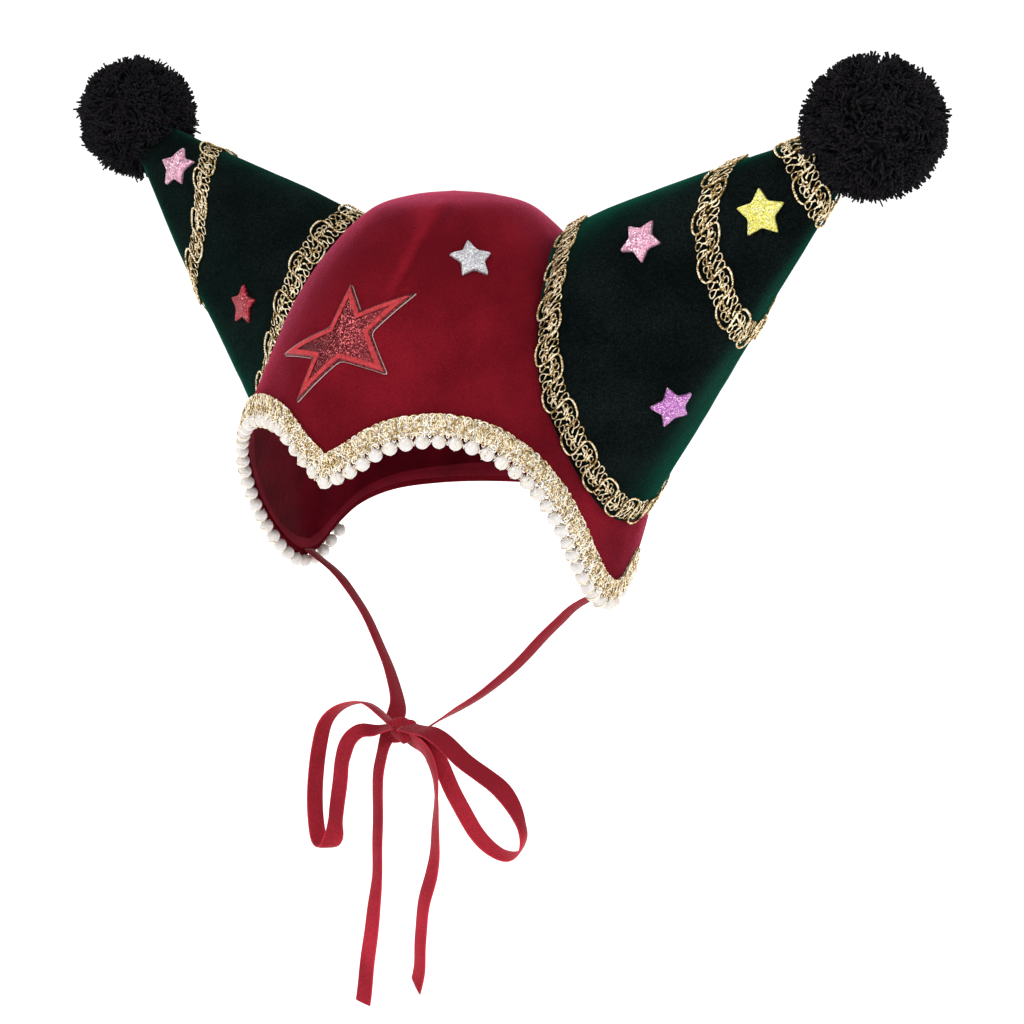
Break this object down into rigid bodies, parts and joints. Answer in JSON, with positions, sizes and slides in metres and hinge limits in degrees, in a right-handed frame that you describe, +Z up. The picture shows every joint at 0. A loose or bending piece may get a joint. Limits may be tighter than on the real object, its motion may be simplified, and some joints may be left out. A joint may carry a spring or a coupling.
{
  "type": "jester hat",
  "caption": "Two-horned velvet jester hat with cheek flaps, pompom tips, gold gimp braid, a pearl and braid face edge, star patches and ribbon chin ties in a bow",
  "frame": {"origin": "inside the top of the crown, where the top of the head sits", "axes": "+Z up, -Y the front of the hat, +X the wearer's left; the horns spread along X"},
  "size_m": [0.466, 0.2003, 0.4422],
  "materials": {
    "red_velvet": "deep red crushed velvet with a pink sheen at grazing angles",
    "green_velvet": "very dark green velvet with a green sheen at its edges",
    "red_satin": "smooth red lining cloth",
    "black_yarn": "cut black wool yarn",
    "gold_thread": "twisted pale gold metallic thread",
    "pearl": "warm white imitation pearl",
    "red_glitter": "red glitter cloth with a coral satin stitch border",
    "silver_glitter": "silver glitter, padded",
    "pink_glitter": "pink glitter, padded",
    "yellow_glitter": "yellow glitter, padded",
    "purple_glitter": "purple glitter, padded",
    "ribbon": "narrow red velvet ribbon"
  },
  "bodies": {
    "root": {"cap": "red_velvet", "lining": "red_satin", "horn_left": "green_velvet", "horn_right": "green_velvet", "pompom_left": "black_yarn", "pompom_right": "black_yarn", "horn_left_base_braid": "gold_thread", "horn_left_middle_braid": "gold_thread", "horn_left_tip_braid": "gold_thread", "horn_right_base_braid": "gold_thread", "horn_right_middle_braid": "gold_thread", "face_braid": "gold_thread", "pearl_string": "pearl", "star_patch": "red_glitter", "star_silver": "silver_glitter", "star_pink_left": "pink_glitter", "star_yellow": "yellow_glitter", "star_purple": "purple_glitter", "star_pink_right": "pink_glitter", "star_red": "red_glitter", "tie_left": "ribbon", "tie_right": "ribbon", "bow_knot": "ribbon", "bow_loop_left": "ribbon", "bow_loop_right": "ribbon", "bow_tail_left": "ribbon", "bow_tail_right": "ribbon"}
  },
  "joints": []
}
